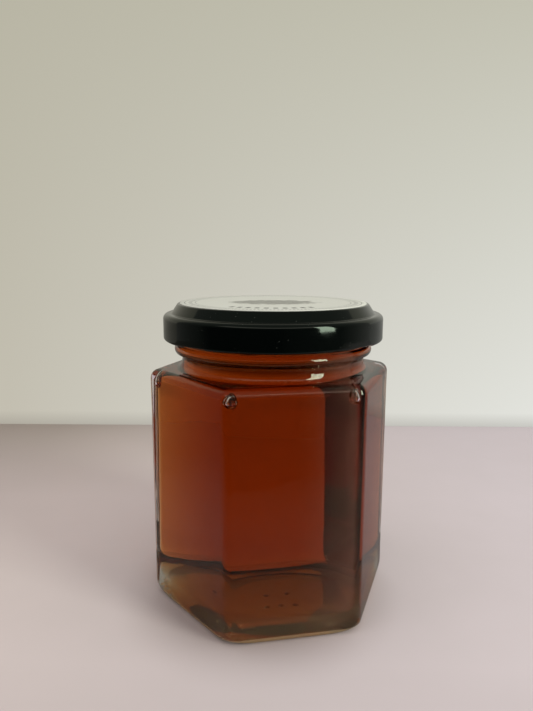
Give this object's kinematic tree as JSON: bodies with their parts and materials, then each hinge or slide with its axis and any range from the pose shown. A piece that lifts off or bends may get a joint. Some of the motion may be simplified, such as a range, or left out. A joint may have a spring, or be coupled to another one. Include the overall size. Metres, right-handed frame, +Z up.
{
  "type": "honey jar",
  "caption": "Six-sided clear glass jar filled with dark amber honey, closed with a black twist-off cap that carries a round paper label.",
  "frame": {"origin": "middle of the base, on the surface that the jar stands on", "axes": "+Z up along the jar's axis; one flat side faces -Y"},
  "size_m": [0.068, 0.0604, 0.0837],
  "materials": {
    "clear_glass": "clear, smooth, with a faint green-grey tint in its thick base",
    "amber_honey": "clear dark amber liquid",
    "black_enamel": "glossy black enamel on tinplate",
    "label_paper": "matt off-white paper with plain grey print"
  },
  "bodies": {
    "root": {"jar": "clear_glass", "honey": "amber_honey", "cap": "black_enamel", "cap_label": "label_paper"}
  },
  "joints": []
}
